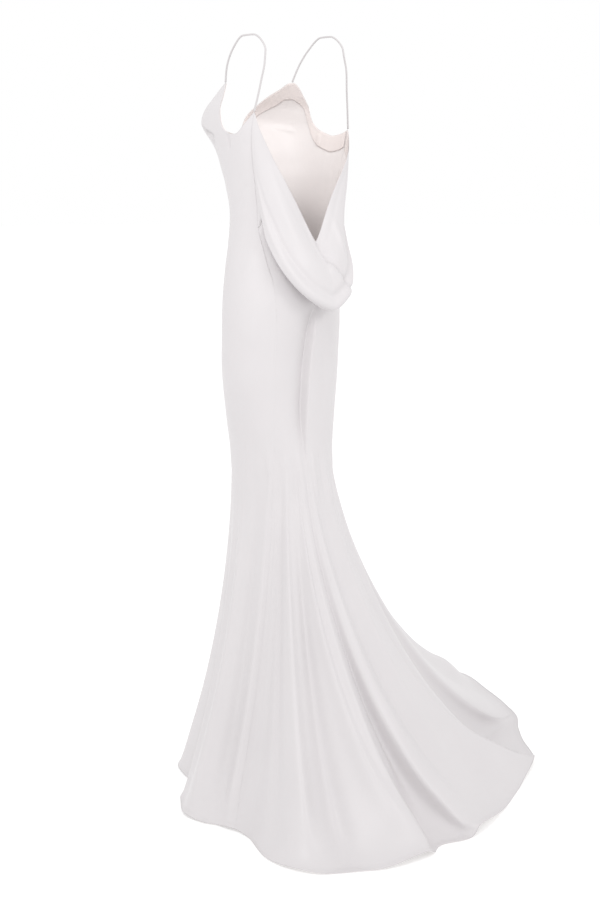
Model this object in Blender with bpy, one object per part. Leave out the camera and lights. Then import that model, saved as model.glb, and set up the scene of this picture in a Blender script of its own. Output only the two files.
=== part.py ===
"""Bias-cut wedding dress, worn form: front, two back skirts, draped back cowl, facings and two straps.

Metres, +Z up, front toward -Y, the wearer's left toward +X.
The origin lies between the tops of the two shoulder straps, where the dress is held up.
Angles run round the body from the centre back (0) to the wearer's left side (90) and the centre front (180).
"""
import math

import bpy

# Height of the strap tops above the floor, and the heights that divide the dress
HOLD_HEIGHT = 1.589
JOIN_HEIGHT = 1.215
KNEE_HEIGHT = 0.700
LEFT_CORNER_HEIGHT = 1.441
RIGHT_CORNER_HEIGHT = 1.402

# Cloth walls and the gaps left where pieces are sewn together
WALL = 0.0016
FACING_WALL = 0.0012
SEAM_GAP = 0.0003
FLOOR_LIFT = 0.0004

# Grid sizes: columns round the body, rows down it
FRONT_COLUMNS = 40
BACK_COLUMNS = 18
TOP_ROWS = 13
BODY_ROWS = 11
SKIRT_ROWS = 16

# Cups: how far they stand out, where their middle is, and how far they reach
CUP_DEPTH = 0.035
CUP_SIDE = 0.080
CUP_HEIGHT = 1.416
CUP_SPREAD = 0.048

# Slack at the right back corner: how far it stands out, its angle, spread and heights
SLACK_DEPTH = 0.031
SLACK_ANGLE = -58.0
SLACK_SPREAD = 27.0
SLACK_FROM = 1.14
SLACK_FULL = 1.37

# Cowl: how far the drape stands off the back, and where its edges lie at the centre back
COWL_STANDOFF = 0.044
COWL_NECK_HEIGHT = 1.184
COWL_FOLD_HEIGHT = 1.045
COWL_FOLD_SIDE_HEIGHT = 1.250
COWL_FLAT_FROM = 0.80
COWL_NECK_POWER = 1.1
COWL_FOLD_POWER = 1.5

# Facings: rows of the panel's own grid that each strip covers
FRONT_FACING_ROWS = 3
BACK_FACING_ROWS = 4

# Straps
STRAP_RADIUS = 0.0019
STRAP_SIDES = 8
STRAP_STEPS = 26

# Body sections: height, half width, back depth, front depth
SECTIONS = (
    (0.700, 0.111, 0.106, 0.104),
    (0.755, 0.117, 0.100, 0.105),
    (0.810, 0.128, 0.097, 0.106),
    (0.935, 0.148, 0.094, 0.103),
    (1.005, 0.150, 0.098, 0.098),
    (1.060, 0.147, 0.099, 0.098),
    (1.130, 0.135, 0.094, 0.098),
    (1.175, 0.125, 0.088, 0.096),
    (1.235, 0.119, 0.084, 0.093),
    (1.300, 0.125, 0.083, 0.106),
    (1.335, 0.131, 0.083, 0.116),
    (1.372, 0.138, 0.086, 0.118),
    (1.418, 0.145, 0.096, 0.132),
    (1.441, 0.145, 0.104, 0.130),
    (1.470, 0.132, 0.100, 0.122),
    (1.500, 0.120, 0.098, 0.100),
)

# Side-back seam: height, angle from the centre back
SIDE_SEAM = (
    (0.700, 58.0),
    (0.830, 47.5),
    (1.015, 42.0),
    (1.090, 45.0),
    (1.160, 57.0),
    (1.235, 68.0),
    (1.340, 68.0),
    (1.441, 65.0),
)

# Centre-back seam: height on the side seam at the same row, angle
CENTRE_SEAM = (
    (0.700, 18.0),
    (0.800, 14.0),
    (0.900, 8.0),
    (1.050, 1.5),
    (1.215, 0.0),
)

# Top edge of the front: angle from the left corner round to the right one, height
TOP_EDGE = (
    (65.0, 1.441),
    (74.0, 1.420),
    (86.0, 1.400),
    (93.0, 1.398),
    (98.5, 1.403),
    (103.0, 1.413),
    (106.0, 1.432),
    (108.0, 1.452),
    (110.5, 1.471),
    (114.5, 1.486),
    (121.0, 1.496),
    (126.0, 1.495),
    (133.0, 1.483),
    (142.5, 1.466),
    (152.0, 1.440),
    (163.0, 1.410),
    (180.0, 1.392),
    (197.0, 1.410),
    (208.0, 1.440),
    (217.5, 1.466),
    (227.0, 1.483),
    (234.0, 1.495),
    (239.0, 1.496),
    (245.5, 1.486),
    (249.5, 1.471),
    (252.0, 1.452),
    (254.0, 1.432),
    (257.0, 1.413),
    (262.0, 1.400),
    (268.0, 1.393),
    (276.0, 1.388),
    (286.0, 1.392),
    (295.0, 1.402),
)

# Fall of the skirt: angle at the knee, angle at the hem
FALL = (
    (-180.0, -180.0),
    (-145.0, -153.0),
    (-110.0, -126.0),
    (-75.0, -96.0),
    (-54.0, -66.0),
    (-38.0, -46.0),
    (-12.0, -23.0),
    (18.0, -1.0),
    (22.0, 7.0),
    (26.0, 13.0),
    (33.0, 31.0),
    (42.0, 44.0),
    (50.0, 56.0),
    (58.0, 69.0),
    (75.0, 80.0),
    (100.0, 97.0),
    (122.0, 126.0),
    (142.0, 153.0),
    (162.0, 168.0),
    (180.0, 180.0),
)

# Hem: angle, reach from the body's axis
HEM = (
    (-180.0, 0.252),
    (-168.0, 0.262),
    (-158.0, 0.318),
    (-148.0, 0.352),
    (-137.0, 0.408),
    (-126.0, 0.490),
    (-115.0, 0.545),
    (-104.0, 0.632),
    (-96.0, 0.684),
    (-88.0, 0.695),
    (-79.0, 0.682),
    (-71.0, 0.655),
    (-64.0, 0.610),
    (-57.0, 0.586),
    (-46.0, 0.575),
    (-35.0, 0.530),
    (-24.0, 0.508),
    (-12.0, 0.500),
    (-1.0, 0.496),
    (7.0, 0.472),
    (13.0, 0.490),
    (22.0, 0.492),
    (31.0, 0.480),
    (41.0, 0.470),
    (47.0, 0.447),
    (54.0, 0.401),
    (62.0, 0.319),
    (69.0, 0.292),
    (77.0, 0.286),
    (84.0, 0.292),
    (92.0, 0.289),
    (99.0, 0.278),
    (110.0, 0.250),
    (120.0, 0.224),
    (130.0, 0.212),
    (140.0, 0.222),
    (150.0, 0.236),
    (157.0, 0.240),
    (168.0, 0.243),
    (180.0, 0.252),
)

# Skirt folds: angle at the hem, angle at the knee, spread to the lower and to the upper side,
# rise, share kept at the hem
FOLDS = (
    (-151.0, -151.0, 9.0, 9.0, 0.024, 0.50),
    (-127.0, -127.0, 9.0, 9.0, 0.028, 0.60),
    (-91.0, -91.0, 13.0, 10.0, 0.080, 0.45),
    (-60.0, -58.0, 9.0, 8.0, -0.042, 0.30),
    (-44.5, -29.0, 3.6, 10.0, 0.036, 0.40),
    (-23.0, -14.0, 8.0, 8.0, 0.006, 0.30),
    (-7.0, 0.0, 9.0, 3.4, 0.040, 0.55),
    (15.5, 13.5, 3.4, 9.0, 0.036, 0.45),
    (46.0, 46.0, 7.0, 6.0, 0.024, 0.30),
    (70.0, 70.0, 5.0, 6.0, 0.022, 0.30),
    (95.0, 95.0, 8.0, 7.0, 0.016, 0.40),
    (153.0, 153.0, 9.0, 8.0, 0.010, 0.50),
)

# How the skirt leaves the knee: plan and drop powers at a short reach, and their change to a long reach
SHORT_REACH = 0.25
REACH_SPAN = 0.30
PLAN_POWER = 1.70
PLAN_POWER_CHANGE = -0.42
DROP_POWER = 1.15
DROP_POWER_CHANGE = 0.42
LONGEST_SHARE = 1.1

# Where the folds begin to settle toward the floor, as a share of the fall,
# and how late they swing to their hem angle
SETTLE_FROM = 0.80
SWING_POWER = 3.0

# Cowl profile from the neck edge down, under the fold and up to the back:
# share along, share of fall, standoff
COWL_PROFILE = (
    (0.00, 0.000, 0.10),
    (0.15, 0.170, 0.38),
    (0.30, 0.360, 0.62),
    (0.45, 0.560, 0.82),
    (0.58, 0.750, 0.96),
    (0.68, 0.895, 1.00),
    (0.76, 0.980, 0.94),
    (0.83, 1.000, 0.80),
    (0.90, 0.965, 0.52),
    (1.00, 0.840, 0.00),
)
COWL_TUCK_SHARE = 0.84

# Left strap: sideways, backward, height
LEFT_STRAP = (
    (0.1310, 0.0455, 1.4450),
    (0.1280, 0.0520, 1.4720),
    (0.1250, 0.0580, 1.5020),
    (0.1220, 0.0640, 1.5350),
    (0.1200, 0.0640, 1.5570),
    (0.1190, 0.0540, 1.5750),
    (0.1180, 0.0320, 1.5870),
    (0.1150, 0.0000, 1.5850),
    (0.1080, -0.0350, 1.5600),
    (0.0980, -0.0620, 1.5260),
    (0.0870, -0.0780, 1.4955),
)
STRAP_BACK_LIFT = 0.0009
STRAP_FRONT_LIFT = 0.0011
STRAP_EASE_STEPS = 4.0

# Colours
SATIN = (0.82, 0.80, 0.81)
BLUSH = (0.82, 0.67, 0.63)

STEP = 1e-4


def table(value, rows, column):
    """Reads a table smoothly at a value of its first column, without overshoot."""
    last = len(rows) - 1
    if value <= rows[0][0]:
        return rows[0][column]
    if value >= rows[last][0]:
        return rows[last][column]
    i = 0
    while rows[i + 1][0] < value:
        i += 1

    def rise(k):
        return (rows[k + 1][column] - rows[k][column]) / (rows[k + 1][0] - rows[k][0])

    def slope(k):
        if k == 0:
            return rise(0)
        if k == last:
            return rise(last - 1)
        before = rise(k - 1)
        after = rise(k)
        if before * after <= 0.0:
            return 0.0
        return 2.0 * before * after / (before + after)

    width = rows[i + 1][0] - rows[i][0]
    t = (value - rows[i][0]) / width
    start = (2 * t ** 3 - 3 * t ** 2 + 1) * rows[i][column] + (t ** 3 - 2 * t ** 2 + t) * width * slope(i)
    end = (-2 * t ** 3 + 3 * t ** 2) * rows[i + 1][column] + (t ** 3 - t ** 2) * width * slope(i + 1)
    return start + end


def mix(a, b, share):
    """Returns the value that lies that share of the way from a to b."""
    return a + (b - a) * share


def ease(value, low, high):
    """Returns 0 below low, 1 above high and a smooth rise between."""
    t = min(1.0, max(0.0, (value - low) / (high - low)))
    return t * t * (3.0 - 2.0 * t)


def wrap(angle):
    """Returns the angle between -180 and 180 degrees."""
    return (angle + 180.0) % 360.0 - 180.0


def body_point(angle, height):
    """Returns the dress surface above the knee, as sideways, backward and height."""
    turn = math.radians(angle)
    away = wrap(angle - SLACK_ANGLE) / SLACK_SPREAD
    slack = SLACK_DEPTH * math.exp(-away * away) * ease(height, SLACK_FROM, SLACK_FULL)
    sideways = (table(height, SECTIONS, 1) + slack) * math.sin(turn)
    facing = math.cos(turn)
    if facing >= 0.0:
        return sideways, (table(height, SECTIONS, 2) + slack) * facing, height
    across = (abs(sideways) - CUP_SIDE) / CUP_SPREAD
    up = (height - CUP_HEIGHT) / CUP_SPREAD
    cup = CUP_DEPTH * math.exp(-across * across - up * up) * min(1.0, -2.0 * facing)
    return sideways, (table(height, SECTIONS, 3) + slack) * facing - cup, height


def skirt_point(angle, fall):
    """Returns the dress surface below the knee; fall is 0 at the knee and 1 at the hem."""
    knee = body_point(angle, KNEE_HEIGHT)
    hem_angle = table(wrap(angle), FALL, 1)
    reach = table(hem_angle, HEM, 1)
    turn = math.radians(hem_angle)
    share = min(LONGEST_SHARE, max(0.0, (reach - SHORT_REACH) / REACH_SPAN))
    plan_power = PLAN_POWER + PLAN_POWER_CHANGE * share
    drop_power = DROP_POWER + DROP_POWER_CHANGE * share
    out_x = reach * math.sin(turn) - knee[0]
    out_y = reach * math.cos(turn) - knee[1]
    run = math.hypot(out_x, out_y)
    plan = fall ** plan_power
    height = KNEE_HEIGHT * (1.0 - fall) ** drop_power
    outward = run * plan_power * max(fall, 0.01) ** (plan_power - 1.0)
    downward = KNEE_HEIGHT * drop_power * max(1.0 - fall, 0.002) ** (drop_power - 1.0)
    length = math.hypot(outward, downward)
    settled = ease(fall, SETTLE_FROM, 1.0)
    rise = 0.0
    for at_hem, at_knee, lower, upper, fold_rise, kept in FOLDS:
        away = wrap(hem_angle - mix(at_knee, at_hem, fall ** SWING_POWER))
        away /= upper if away > 0.0 else lower
        rise += fold_rise * mix(1.0, kept, settled) * math.exp(-away * away)
    rise *= ease(fall, -0.25, 0.95) * fall ** 0.35 if fall > 0.0 else 0.0
    side = rise * downward / length
    x = knee[0] + out_x * plan + side * out_x / run
    y = knee[1] + out_y * plan + side * out_y / run
    height += rise * outward / length
    return x, y, max(height, WALL + FLOOR_LIFT)


def dress_point(angle, level):
    """Returns the surface at a height above the knee, or at a fall below it when the level is negative."""
    if level >= 0.0:
        return body_point(angle, KNEE_HEIGHT + level)
    return skirt_point(angle, min(1.0, -level))


def normal_of(surface, a, b, step_a, step_b):
    """Returns the unit normal of a surface function, from its two directions."""
    here = surface(a, b)
    there = surface(a + step_a, b)
    down = surface(a, b + step_b)
    u = [(there[k] - here[k]) / step_a for k in range(3)]
    v = [(down[k] - here[k]) / step_b for k in range(3)]
    cross = (u[1] * v[2] - u[2] * v[1], u[2] * v[0] - u[0] * v[2], u[0] * v[1] - u[1] * v[0])
    length = math.sqrt(sum(c * c for c in cross)) or 1.0
    return tuple(c / length for c in cross)


def dress_normal(angle, level):
    """Returns the outward normal of the dress surface."""
    step_level = STEP
    if level < 0.0 and level - STEP > -1.0:
        step_level = -STEP
    normal = normal_of(dress_point, angle, level, 0.05, step_level)
    return tuple(-c for c in normal)


def side_seam(height):
    """Returns the angle of the side-back seam at a height."""
    return table(height, SIDE_SEAM, 1)


def half_gap_angle(angle, level):
    """Returns half a seam gap as an angle at a place of the surface."""
    a = dress_point(angle - 0.5, level)
    b = dress_point(angle + 0.5, level)
    return 0.5 * SEAM_GAP / max(1e-4, math.dist(a, b))


def corner_height(side):
    """Returns the height of the back corner on the left (1) or the right (-1)."""
    return LEFT_CORNER_HEIGHT if side > 0 else RIGHT_CORNER_HEIGHT


def cowl_fold_weight(share):
    """Returns how much of the folded profile the cowl has at a share of its half width."""
    return 1.0 - ease(abs(share), COWL_FLAT_FROM, 1.0)


def cowl_heights(share):
    """Returns the heights of the neck edge and of the fold at a share from the centre back."""
    side = 1 if share > 0 else -1
    neck = COWL_NECK_HEIGHT + (corner_height(side) - COWL_NECK_HEIGHT) * abs(share) ** COWL_NECK_POWER
    fold = COWL_FOLD_HEIGHT + (COWL_FOLD_SIDE_HEIGHT - COWL_FOLD_HEIGHT) * abs(share) ** COWL_FOLD_POWER
    return neck, fold


def cowl_tuck_height(share):
    """Returns the height where the cowl is sewn to the back skirts."""
    neck, fold = cowl_heights(share)
    return mix(JOIN_HEIGHT, mix(neck, fold, COWL_TUCK_SHARE), cowl_fold_weight(share))


def cowl_point(share, along):
    """Returns the cowl surface; share is -1 to 1 across it and along is 0 to 1 from the neck edge."""
    side = 1 if share > 0 else -1
    seam_height = mix(corner_height(side), JOIN_HEIGHT, along)
    weight = cowl_fold_weight(share)
    neck, fold = cowl_heights(share)
    folded = mix(neck, fold, table(along, COWL_PROFILE, 1))
    height = mix(seam_height + (neck - corner_height(side)) * (1.0 - along), folded, weight)
    if along >= 1.0:
        height = cowl_tuck_height(share)
    angle = share * side_seam(seam_height)
    standoff = COWL_STANDOFF * table(along, COWL_PROFILE, 2) * max(0.0, 1.0 - abs(share) ** 2.2) ** 0.9
    x, y, _ = body_point(angle, height)
    out = math.hypot(x, y)
    return x * (1.0 + standoff / out), y * (1.0 + standoff / out), height


def cowl_normal(share, along):
    """Returns the outward normal of the cowl."""
    step_share = -STEP if share > 0 else STEP
    step_along = -STEP if along > 0.5 else STEP
    return normal_of(cowl_point, share, along, step_share, step_along)


def shifted(point, normal, distance):
    """Returns a point moved along a normal."""
    return tuple(point[k] + normal[k] * distance for k in range(3))


def make_material(name, colour, roughness, sheen):
    """Makes one plain cloth material."""
    material = bpy.data.materials.new(name)
    material.use_nodes = True
    shader = material.node_tree.nodes["Principled BSDF"]
    shader.inputs["Base Color"].default_value = (*colour, 1.0)
    shader.inputs["Roughness"].default_value = roughness
    shader.inputs["Sheen Weight"].default_value = sheen
    material.diffuse_color = (*colour, 1.0)
    return material


def add_object(name, points, faces, material):
    """Adds one closed solid, with its faces turned outward."""
    lifted = [(x, y, z - HOLD_HEIGHT) for x, y, z in points]
    volume = 0.0
    for face in faces:
        a = lifted[face[0]]
        for i in range(1, len(face) - 1):
            b = lifted[face[i]]
            c = lifted[face[i + 1]]
            volume += a[0] * (b[1] * c[2] - b[2] * c[1])
            volume += a[1] * (b[2] * c[0] - b[0] * c[2])
            volume += a[2] * (b[0] * c[1] - b[1] * c[0])
    if volume < 0.0:
        faces = [tuple(reversed(face)) for face in faces]
    mesh = bpy.data.meshes.new(name)
    mesh.from_pydata(lifted, [], faces)
    mesh.materials.append(material)
    mesh.update()
    made = bpy.data.objects.new(name, mesh)
    bpy.context.scene.collection.objects.link(made)
    return made


def add_shell(name, outer, inner, material):
    """Adds a cloth wall from two equal grids of points, closed round its edges."""
    rows = len(outer)
    columns = len(outer[0])
    points = [p for row in outer for p in row] + [p for row in inner for p in row]
    back = rows * columns
    faces = []
    for i in range(rows - 1):
        for j in range(columns - 1):
            a = i * columns + j
            b = a + 1
            c = b + columns
            d = a + columns
            faces.append((a, b, c))
            faces.append((a, c, d))
            faces.append((back + c, back + b, back + a))
            faces.append((back + d, back + c, back + a))
    rim = [j for j in range(columns)]
    rim += [i * columns + columns - 1 for i in range(1, rows)]
    rim += [(rows - 1) * columns + j for j in range(columns - 2, -1, -1)]
    rim += [i * columns for i in range(rows - 2, 0, -1)]
    for k, a in enumerate(rim):
        b = rim[(k + 1) % len(rim)]
        faces.append((b, a, back + a))
        faces.append((b, back + a, back + b))
    return add_object(name, points, faces, material)


def front_rows():
    """Returns the front's rows as seam heights, shares from the top edge, and levels."""
    rows = []
    for k in range(TOP_ROWS):
        rows.append(("top", k / TOP_ROWS))
    for k in range(BODY_ROWS):
        rows.append(("body", k / BODY_ROWS))
    for k in range(SKIRT_ROWS + 1):
        rows.append(("skirt", k / SKIRT_ROWS))
    return rows


def front_place(kind, share, across):
    """Returns the angle and level of a front point; across is 0 at the left seam and 1 at the right one."""
    if kind == "skirt":
        angle = mix(side_seam(KNEE_HEIGHT), 360.0 - side_seam(KNEE_HEIGHT), across)
        level = -share if share > 0.0 else 0.0
    elif kind == "body":
        height = mix(JOIN_HEIGHT, KNEE_HEIGHT, share)
        angle = mix(side_seam(height), 360.0 - side_seam(height), across)
        level = height - KNEE_HEIGHT
    else:
        left = side_seam(mix(LEFT_CORNER_HEIGHT, JOIN_HEIGHT, share))
        right = side_seam(mix(RIGHT_CORNER_HEIGHT, JOIN_HEIGHT, share))
        angle = mix(left, 360.0 - right, across)
        top_left = side_seam(LEFT_CORNER_HEIGHT)
        top_right = side_seam(RIGHT_CORNER_HEIGHT)
        top = table(mix(top_left, 360.0 - top_right, across), TOP_EDGE, 1)
        if across <= 0.0:
            top = LEFT_CORNER_HEIGHT
        if across >= 1.0:
            top = RIGHT_CORNER_HEIGHT
        level = mix(top, JOIN_HEIGHT, share) - KNEE_HEIGHT
    if across <= 0.0:
        angle += half_gap_angle(angle, level)
    if across >= 1.0:
        angle -= half_gap_angle(angle, level)
    return angle, level


def front_grids():
    """Returns the front's outer and inner points, from one side-back seam round to the other."""
    outer = []
    inner = []
    for kind, share in front_rows():
        outer_row = []
        inner_row = []
        for j in range(FRONT_COLUMNS + 1):
            angle, level = front_place(kind, share, j / FRONT_COLUMNS)
            point = dress_point(angle, level)
            outer_row.append(point)
            inner_row.append(shifted(point, dress_normal(angle, level), -WALL))
        outer.append(outer_row)
        inner.append(inner_row)
    return outer, inner


def back_place(kind, share, across, side):
    """Returns the angle and level of a back skirt point; across is 0 at the centre seam and 1 at the side."""
    if kind == "skirt":
        centre = table(KNEE_HEIGHT, CENTRE_SEAM, 1)
        edge = side * side_seam(KNEE_HEIGHT)
        angle = mix(centre, edge, across)
        level = -share if share > 0.0 else 0.0
    else:
        seam_height = mix(JOIN_HEIGHT, KNEE_HEIGHT, share)
        centre = table(seam_height, CENTRE_SEAM, 1)
        edge = side * side_seam(seam_height)
        angle = mix(centre, edge, across)
        top = cowl_tuck_height(side * across) - SEAM_GAP
        height = mix(top, KNEE_HEIGHT, share)
        if across >= 1.0:
            height = seam_height - (SEAM_GAP if share <= 0.0 else 0.0)
        level = height - KNEE_HEIGHT
    if across <= 0.0:
        angle += side * half_gap_angle(angle, level)
    if across >= 1.0:
        angle -= side * half_gap_angle(angle, level)
    return angle, level


def build_back(name, side, material):
    """Builds one back skirt, from under the cowl down to the train."""
    outer = []
    inner = []
    for kind, share in front_rows()[TOP_ROWS:]:
        outer_row = []
        inner_row = []
        for j in range(BACK_COLUMNS + 1):
            angle, level = back_place(kind, share, j / BACK_COLUMNS, side)
            point = dress_point(angle, level)
            outer_row.append(point)
            inner_row.append(shifted(point, dress_normal(angle, level), -WALL))
        outer.append(outer_row)
        inner.append(inner_row)
    return add_shell(name, outer, inner, material)


def cowl_share(j):
    """Returns the share across the cowl of one of its columns, held off the side seams by half a gap."""
    share = -1.0 + j / BACK_COLUMNS
    if j == 0 or j == 2 * BACK_COLUMNS:
        angle = side_seam(JOIN_HEIGHT)
        share *= 1.0 - half_gap_angle(angle, JOIN_HEIGHT - KNEE_HEIGHT) / angle
    return share


def cowl_grids():
    """Returns the cowl's outer and inner points, from the neck edge over the bulge and under its fold."""
    outer = []
    inner = []
    for i in range(TOP_ROWS + 1):
        outer_row = []
        inner_row = []
        for j in range(2 * BACK_COLUMNS + 1):
            share = cowl_share(j)
            point = cowl_point(share, i / TOP_ROWS)
            normal = cowl_normal(share, i / TOP_ROWS)
            out = point[0] * normal[0] + point[1] * normal[1]
            if out < 0.0 and i < TOP_ROWS // 2:
                normal = tuple(-c for c in normal)
            outer_row.append(point)
            inner_row.append(shifted(point, normal, -WALL))
        outer.append(outer_row)
        inner.append(inner_row)
    return outer, inner


def build_facing(name, grids, rows, material):
    """Builds the strip sewn inside a panel's top edge, from the panel's own points moved inward."""
    outer = []
    inner = []
    for outer_row, inner_row in list(zip(*grids))[:rows]:
        near = []
        far = []
        for face, back in list(zip(outer_row, inner_row))[1:-1]:
            inward = tuple((back[k] - face[k]) / WALL for k in range(3))
            near.append(shifted(back, inward, SEAM_GAP))
            far.append(shifted(back, inward, SEAM_GAP + FACING_WALL))
        outer.append(near)
        inner.append(far)
    return add_shell(name, outer, inner, material)


def strap_rows(side, front):
    """Returns the strap's path rows for the left (1) or the right (-1), with their running share first."""
    outer, inner = front
    column = 0 if side > 0 else FRONT_COLUMNS
    half = FRONT_COLUMNS // 2
    cup = max(range(1, half) if side > 0 else range(half + 1, FRONT_COLUMNS), key=lambda j: outer[0][j][2])
    last = len(LEFT_STRAP) - 1
    ends = []
    for j, lift, k in ((column, STRAP_BACK_LIFT, 0), (cup, STRAP_FRONT_LIFT, last)):
        middle = [mix(outer[0][j][c], inner[0][j][c], 0.5) for c in range(3)]
        x, y, height = LEFT_STRAP[k]
        ends.append((middle[0] - side * x, middle[1] - y, middle[2] + lift - height))
    rows = []
    for k, (x, y, height) in enumerate(LEFT_STRAP):
        back = max(0.0, 1.0 - k / STRAP_EASE_STEPS)
        ahead = max(0.0, 1.0 - (last - k) / STRAP_EASE_STEPS)
        moved = [back * ends[0][c] + ahead * ends[1][c] for c in range(3)]
        rows.append((k / last, side * x + moved[0], y + moved[1], height + moved[2]))
    return rows


def build_strap(name, side, front, material):
    """Builds one rolled strap, from the back corner over the shoulder to the cup."""
    rows = strap_rows(side, front)
    path = []
    for k in range(STRAP_STEPS + 1):
        share = k / STRAP_STEPS
        path.append([table(share, rows, c) for c in (1, 2, 3)])
    points = []
    for k, centre in enumerate(path):
        before = path[max(0, k - 1)]
        after = path[min(STRAP_STEPS, k + 1)]
        forward = [after[c] - before[c] for c in range(3)]
        length = math.sqrt(sum(c * c for c in forward))
        forward = [c / length for c in forward]
        across = (1.0, 0.0, 0.0)
        dot = sum(across[c] * forward[c] for c in range(3))
        first = [across[c] - dot * forward[c] for c in range(3)]
        length = math.sqrt(sum(c * c for c in first))
        first = [c / length for c in first]
        second = (
            forward[1] * first[2] - forward[2] * first[1],
            forward[2] * first[0] - forward[0] * first[2],
            forward[0] * first[1] - forward[1] * first[0],
        )
        for s in range(STRAP_SIDES):
            turn = 2.0 * math.pi * s / STRAP_SIDES
            points.append(tuple(
                centre[c] + STRAP_RADIUS * (math.cos(turn) * first[c] + math.sin(turn) * second[c])
                for c in range(3)
            ))
    faces = []
    for k in range(STRAP_STEPS):
        for s in range(STRAP_SIDES):
            a = k * STRAP_SIDES + s
            b = k * STRAP_SIDES + (s + 1) % STRAP_SIDES
            faces.append((a, b, b + STRAP_SIDES, a + STRAP_SIDES))
    faces.append(tuple(reversed(range(STRAP_SIDES))))
    faces.append(tuple(STRAP_STEPS * STRAP_SIDES + s for s in range(STRAP_SIDES)))
    return add_object(name, points, faces, material)


def main():
    """Clears the scene and builds every piece of the dress."""
    for old in list(bpy.data.objects):
        bpy.data.objects.remove(old, do_unlink=True)
    front = front_grids()
    cowl = cowl_grids()
    add_shell("front", *front, make_material("front_satin", SATIN, 0.42, 0.30))
    build_back("back_left", 1, make_material("back_left_satin", SATIN, 0.42, 0.30))
    build_back("back_right", -1, make_material("back_right_satin", SATIN, 0.42, 0.30))
    add_shell("back_cowl", *cowl, make_material("cowl_satin", SATIN, 0.42, 0.30))
    front_blush = make_material("front_facing_blush", BLUSH, 0.55, 0.20)
    back_blush = make_material("back_facing_blush", BLUSH, 0.55, 0.20)
    build_facing("front_facing", front, FRONT_FACING_ROWS, front_blush)
    build_facing("back_facing", cowl, BACK_FACING_ROWS, back_blush)
    build_strap("strap_left", 1, front, make_material("strap_left_satin", SATIN, 0.40, 0.30))
    build_strap("strap_right", -1, front, make_material("strap_right_satin", SATIN, 0.40, 0.30))


if __name__ == "__main__":
    main()
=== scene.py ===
"""Bias-cut wedding gown with a draped cowl back and a sweeping train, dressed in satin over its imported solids.

Metres, +Z up, front toward -Y, the wearer's left toward +X. The origin lies between the tops of the straps.
Angles run round the body from the centre back (0) to the left side (90) and the centre front (180).
"""
import logging
import math
from dataclasses import dataclass, field
from enum import Enum

import bmesh
import bpy
import numpy as np
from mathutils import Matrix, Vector


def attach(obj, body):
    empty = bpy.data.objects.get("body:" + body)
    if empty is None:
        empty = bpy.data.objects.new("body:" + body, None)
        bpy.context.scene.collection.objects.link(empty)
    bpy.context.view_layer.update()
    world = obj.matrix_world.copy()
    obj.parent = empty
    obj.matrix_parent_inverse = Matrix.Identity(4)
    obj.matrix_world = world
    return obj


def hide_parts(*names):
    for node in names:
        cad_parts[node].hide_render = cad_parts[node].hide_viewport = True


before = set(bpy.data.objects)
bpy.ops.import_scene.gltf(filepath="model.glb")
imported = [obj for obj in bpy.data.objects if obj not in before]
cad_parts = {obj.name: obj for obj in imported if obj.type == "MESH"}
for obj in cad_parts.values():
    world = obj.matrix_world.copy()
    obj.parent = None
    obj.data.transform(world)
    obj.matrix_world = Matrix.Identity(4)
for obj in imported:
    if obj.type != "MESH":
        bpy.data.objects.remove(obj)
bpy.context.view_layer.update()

LOG = logging.getLogger("gown")
Rows = tuple[tuple[float, ...], ...]
SETTLE_FROM = 0.80


class Side(Enum):
    """The wearer's left or right."""

    LEFT = 1
    RIGHT = -1


class Level(Enum):
    """The three stretches of a long panel, from the top down."""

    TOP = "top"
    BODY = "body"
    SKIRT = "skirt"


@dataclass(frozen=True)
class Profile:
    """A smooth curve through a table's rows, without overshoot."""

    rows: Rows
    column: int = 1

    def at(self, value: np.ndarray | float) -> np.ndarray:
        """Reads the curve.

        Args:
            value: places along the table's first column.

        Returns:
            The curve's values there.
        """
        xs = np.array([row[0] for row in self.rows])
        ys = np.array([row[self.column] for row in self.rows])
        width = np.diff(xs)
        rise = np.diff(ys) / width
        slope = np.empty_like(ys)
        slope[0] = rise[0]
        slope[-1] = rise[-1]
        product = rise[:-1] * rise[1:]
        total = rise[:-1] + rise[1:]
        safe = np.where(np.abs(total) < 1e-12, 1.0, total)
        slope[1:-1] = np.where(product > 0.0, 2.0 * product / safe, 0.0)
        place = np.clip(np.asarray(value, float), xs[0], xs[-1])
        i = np.clip(np.searchsorted(xs, place, side="right") - 1, 0, len(xs) - 2)
        t = (place - xs[i]) / width[i]
        start = (2 * t**3 - 3 * t**2 + 1) * ys[i] + (t**3 - 2 * t**2 + t) * width[i] * slope[i]
        end = (-2 * t**3 + 3 * t**2) * ys[i + 1] + (t**3 - t**2) * width[i] * slope[i + 1]
        return start + end


def mix(a: np.ndarray | float, b: np.ndarray | float, share: np.ndarray | float) -> np.ndarray:
    """Returns the value that lies that share of the way from a to b."""
    return a + (b - a) * share


def ease(value: np.ndarray | float, low: float, high: float) -> np.ndarray:
    """Returns 0 below low, 1 above high and a smooth rise between."""
    t = np.clip((np.asarray(value, float) - low) / (high - low), 0.0, 1.0)
    return t * t * (3.0 - 2.0 * t)


def wrap(angle: np.ndarray | float) -> np.ndarray:
    """Returns angles between -180 and 180 degrees."""
    return (np.asarray(angle, float) + 180.0) % 360.0 - 180.0


def bell(away: np.ndarray) -> np.ndarray:
    """Returns a bell curve, 1 at nought."""
    return np.exp(-away * away)


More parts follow.
